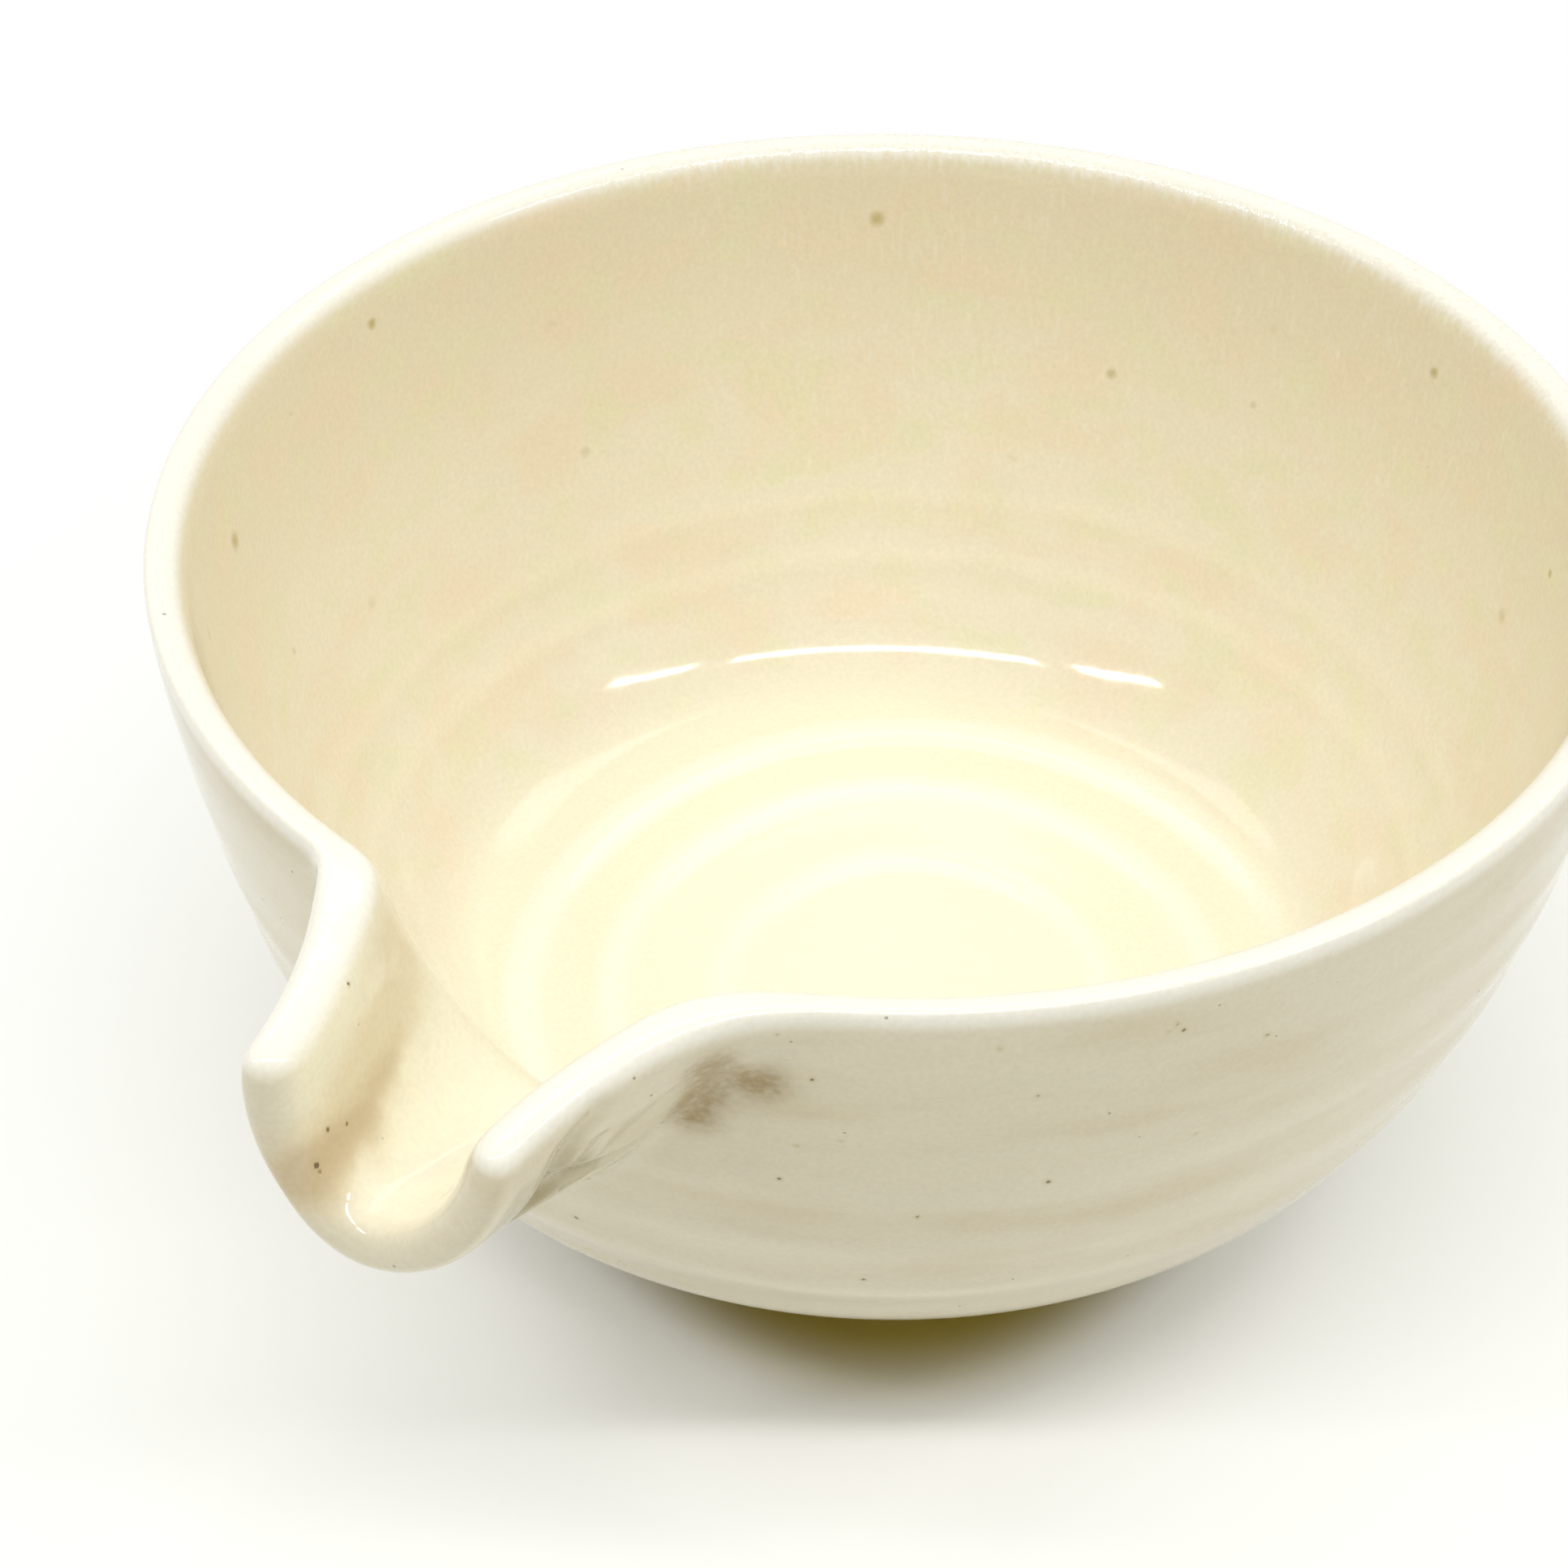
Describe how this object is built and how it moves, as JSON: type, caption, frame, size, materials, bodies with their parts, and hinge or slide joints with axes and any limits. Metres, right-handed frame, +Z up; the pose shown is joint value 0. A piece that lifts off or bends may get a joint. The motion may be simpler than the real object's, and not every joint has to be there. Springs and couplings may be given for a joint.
{
  "type": "spouted bowl",
  "caption": "Hand-thrown round bowl with an open trough spout at the rim, for mixing, serving and pouring, in cream-glazed stoneware on a low foot ring.",
  "frame": {"origin": "on the table under the middle of the whole footprint, spout included", "axes": "+Z up, -Y the way the spout pours, +X to the right seen from in front of the spout"},
  "size_m": [0.146, 0.1655, 0.071],
  "materials": {
    "glaze": "glossy",
    "bare_clay": "matte"
  },
  "bodies": {
    "root": {"bowl": "glaze", "spout": "glaze", "foot_ring": "bare_clay"}
  },
  "joints": []
}
